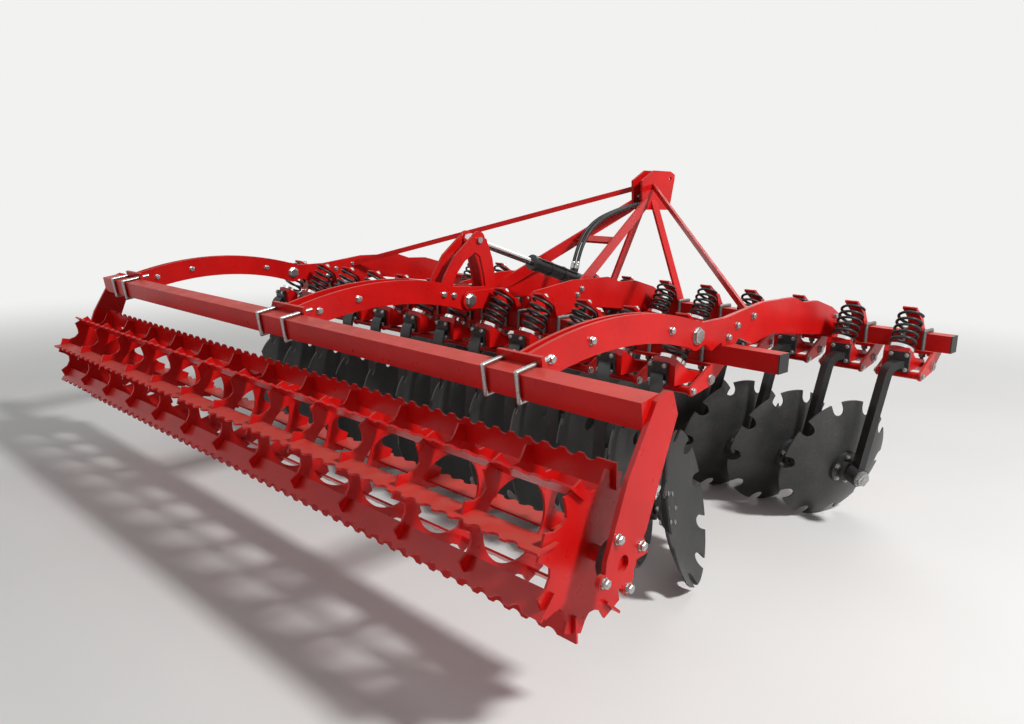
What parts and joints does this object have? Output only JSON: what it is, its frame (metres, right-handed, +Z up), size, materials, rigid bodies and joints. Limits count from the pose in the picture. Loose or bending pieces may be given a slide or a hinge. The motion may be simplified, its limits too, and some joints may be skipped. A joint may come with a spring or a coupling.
{
  "type": "disc harrow",
  "caption": "Mounted compact disc harrow: sprung notched discs hang in rows from square beams, with a barred packer roller on lift arms behind.",
  "frame": {"origin": "on the ground below the middle of the machine's box", "axes": "+X to the machine's right, +Y forward to the tractor, +Z up"},
  "size_m": [3.842, 3.1648, 1.672],
  "materials": {
    "red_paint": "gloss red paint",
    "black_paint": "satin black paint",
    "disc_steel": "thin dark transport paint on steel",
    "dark_steel": "phosphated steel",
    "zinc_steel": "zinc plated steel",
    "bright_steel": "hard chrome plate",
    "black_plastic": "moulded matt plastic",
    "hose_rubber": "matt rubber cover"
  },
  "bodies": {
    "frame": {"front_beam": "red_paint", "rear_beam": "red_paint", "beam_end_caps": "black_plastic", "side_longitudinals": "red_paint", "inner_longitudinals": "red_paint", "pivot_plates": "red_paint", "cylinder_mount": "red_paint", "tower_cheeks": "red_paint", "tower_legs": "red_paint", "tower_braces": "red_paint", "diagonal_ties": "red_paint", "lower_link_ears": "red_paint", "front_hangers": "red_paint", "rear_hangers": "red_paint", "arm_holders": "red_paint", "clamp_bolts": "dark_steel", "spring_straps": "red_paint", "spring_seats": "bright_steel", "springs": "black_paint", "front_arms": "black_paint", "rear_arms": "black_paint", "pivot_pins": "zinc_steel", "hose_holder": "red_paint", "hose_left": "hose_rubber", "hose_right": "hose_rubber"},
    "roller_frame": {"roller_tube": "red_paint", "roller_arms": "red_paint", "tube_bolts": "zinc_steel", "lift_arch": "red_paint", "arch_pins": "zinc_steel", "roller_end_plates": "red_paint", "roller_bearings": "black_paint"},
    "roller": {"roller_rings": "red_paint", "roller_bars": "red_paint"},
    "barrel": {"cylinder_barrel": "black_paint"},
    "rod": {"cylinder_rod": "bright_steel"},
    "front_disc_01": {"front_disc_01": "disc_steel"},
    "front_disc_02": {"front_disc_02": "disc_steel"},
    "front_disc_03": {"front_disc_03": "disc_steel"},
    "front_disc_04": {"front_disc_04": "disc_steel"},
    "front_disc_05": {"front_disc_05": "disc_steel"},
    "front_disc_06": {"front_disc_06": "disc_steel"},
    "front_disc_07": {"front_disc_07": "disc_steel"},
    "front_disc_08": {"front_disc_08": "disc_steel"},
    "front_disc_09": {"front_disc_09": "disc_steel"},
    "front_disc_10": {"front_disc_10": "disc_steel"},
    "front_disc_11": {"front_disc_11": "disc_steel"},
    "front_disc_12": {"front_disc_12": "disc_steel"},
    "rear_disc_01": {"rear_disc_01": "disc_steel"},
    "rear_disc_02": {"rear_disc_02": "disc_steel"},
    "rear_disc_03": {"rear_disc_03": "disc_steel"},
    "rear_disc_04": {"rear_disc_04": "disc_steel"},
    "rear_disc_05": {"rear_disc_05": "disc_steel"},
    "rear_disc_06": {"rear_disc_06": "disc_steel"},
    "rear_disc_07": {"rear_disc_07": "disc_steel"},
    "rear_disc_08": {"rear_disc_08": "disc_steel"},
    "rear_disc_09": {"rear_disc_09": "disc_steel"},
    "rear_disc_10": {"rear_disc_10": "disc_steel"},
    "rear_disc_11": {"rear_disc_11": "disc_steel"},
    "rear_disc_12": {"rear_disc_12": "disc_steel"}
  },
  "joints": [
    {"name": "roller_spin", "type": "hinge", "parent": "roller_frame", "child": "roller", "pos_m": [0, -1.34139, 0.56605], "axis": [1, 0, 0], "continuous": true},
    {"name": "roller_height", "type": "hinge", "parent": "frame", "child": "roller_frame", "pos_m": [0, -0.21639, 0.98406], "axis": [1, 0, 0], "range_deg": [-4, 14]},
    {"name": "barrel_swing", "type": "hinge", "parent": "frame", "child": "barrel", "pos_m": [0, 0.82361, 0.99206], "axis": [1, 0, 0], "range_deg": [-6, 6]},
    {"name": "rod_stroke", "type": "slide", "parent": "barrel", "child": "rod", "axis": [0, -0.9589, 0.2838], "range_m": [-0.06, 0.12]},
    {"name": "front_disc_01_spin", "type": "hinge", "parent": "frame", "child": "front_disc_01", "pos_m": [1.5525, 0.78861, 0.30206], "axis": [0.9034, -0.365, -0.225], "continuous": true},
    {"name": "front_disc_02_spin", "type": "hinge", "parent": "frame", "child": "front_disc_02", "pos_m": [1.2825, 0.78861, 0.30206], "axis": [0.9034, -0.365, -0.225], "continuous": true},
    {"name": "front_disc_03_spin", "type": "hinge", "parent": "frame", "child": "front_disc_03", "pos_m": [1.0125, 0.78861, 0.30206], "axis": [0.9034, -0.365, -0.225], "continuous": true},
    {"name": "front_disc_04_spin", "type": "hinge", "parent": "frame", "child": "front_disc_04", "pos_m": [0.7425, 0.78861, 0.30206], "axis": [0.9034, -0.365, -0.225], "continuous": true},
    {"name": "front_disc_05_spin", "type": "hinge", "parent": "frame", "child": "front_disc_05", "pos_m": [0.4725, 0.78861, 0.30206], "axis": [0.9034, -0.365, -0.225], "continuous": true},
    {"name": "front_disc_06_spin", "type": "hinge", "parent": "frame", "child": "front_disc_06", "pos_m": [0.2025, 0.78861, 0.30206], "axis": [0.9034, -0.365, -0.225], "continuous": true},
    {"name": "front_disc_07_spin", "type": "hinge", "parent": "frame", "child": "front_disc_07", "pos_m": [-0.0675, 0.78861, 0.30206], "axis": [0.9034, -0.365, -0.225], "continuous": true},
    {"name": "front_disc_08_spin", "type": "hinge", "parent": "frame", "child": "front_disc_08", "pos_m": [-0.3375, 0.78861, 0.30206], "axis": [0.9034, -0.365, -0.225], "continuous": true},
    {"name": "front_disc_09_spin", "type": "hinge", "parent": "frame", "child": "front_disc_09", "pos_m": [-0.6075, 0.78861, 0.30206], "axis": [0.9034, -0.365, -0.225], "continuous": true},
    {"name": "front_disc_10_spin", "type": "hinge", "parent": "frame", "child": "front_disc_10", "pos_m": [-0.8775, 0.78861, 0.30206], "axis": [0.9034, -0.365, -0.225], "continuous": true},
    {"name": "front_disc_11_spin", "type": "hinge", "parent": "frame", "child": "front_disc_11", "pos_m": [-1.1475, 0.78861, 0.30206], "axis": [0.9034, -0.365, -0.225], "continuous": true},
    {"name": "front_disc_12_spin", "type": "hinge", "parent": "frame", "child": "front_disc_12", "pos_m": [-1.4175, 0.78861, 0.30206], "axis": [0.9034, -0.365, -0.225], "continuous": true},
    {"name": "rear_disc_01_spin", "type": "hinge", "parent": "frame", "child": "rear_disc_01", "pos_m": [-1.5525, -0.28139, 0.30206], "axis": [-0.9034, -0.365, -0.225], "continuous": true},
    {"name": "rear_disc_02_spin", "type": "hinge", "parent": "frame", "child": "rear_disc_02", "pos_m": [-1.2825, -0.28139, 0.30206], "axis": [-0.9034, -0.365, -0.225], "continuous": true},
    {"name": "rear_disc_03_spin", "type": "hinge", "parent": "frame", "child": "rear_disc_03", "pos_m": [-1.0125, -0.28139, 0.30206], "axis": [-0.9034, -0.365, -0.225], "continuous": true},
    {"name": "rear_disc_04_spin", "type": "hinge", "parent": "frame", "child": "rear_disc_04", "pos_m": [-0.7425, -0.28139, 0.30206], "axis": [-0.9034, -0.365, -0.225], "continuous": true},
    {"name": "rear_disc_05_spin", "type": "hinge", "parent": "frame", "child": "rear_disc_05", "pos_m": [-0.4725, -0.28139, 0.30206], "axis": [-0.9034, -0.365, -0.225], "continuous": true},
    {"name": "rear_disc_06_spin", "type": "hinge", "parent": "frame", "child": "rear_disc_06", "pos_m": [-0.2025, -0.28139, 0.30206], "axis": [-0.9034, -0.365, -0.225], "continuous": true},
    {"name": "rear_disc_07_spin", "type": "hinge", "parent": "frame", "child": "rear_disc_07", "pos_m": [0.0675, -0.28139, 0.30206], "axis": [-0.9034, -0.365, -0.225], "continuous": true},
    {"name": "rear_disc_08_spin", "type": "hinge", "parent": "frame", "child": "rear_disc_08", "pos_m": [0.3375, -0.28139, 0.30206], "axis": [-0.9034, -0.365, -0.225], "continuous": true},
    {"name": "rear_disc_09_spin", "type": "hinge", "parent": "frame", "child": "rear_disc_09", "pos_m": [0.6075, -0.28139, 0.30206], "axis": [-0.9034, -0.365, -0.225], "continuous": true},
    {"name": "rear_disc_10_spin", "type": "hinge", "parent": "frame", "child": "rear_disc_10", "pos_m": [0.8775, -0.28139, 0.30206], "axis": [-0.9034, -0.365, -0.225], "continuous": true},
    {"name": "rear_disc_11_spin", "type": "hinge", "parent": "frame", "child": "rear_disc_11", "pos_m": [1.1475, -0.28139, 0.30206], "axis": [-0.9034, -0.365, -0.225], "continuous": true},
    {"name": "rear_disc_12_spin", "type": "hinge", "parent": "frame", "child": "rear_disc_12", "pos_m": [1.4175, -0.28139, 0.30206], "axis": [-0.9034, -0.365, -0.225], "continuous": true}
  ],
  "couplings": [
    {"joint": "barrel_swing", "follows": "roller_height", "ratio": 0.04245},
    {"joint": "rod_stroke", "follows": "roller_height", "m_per_rad": 0.299}
  ]
}
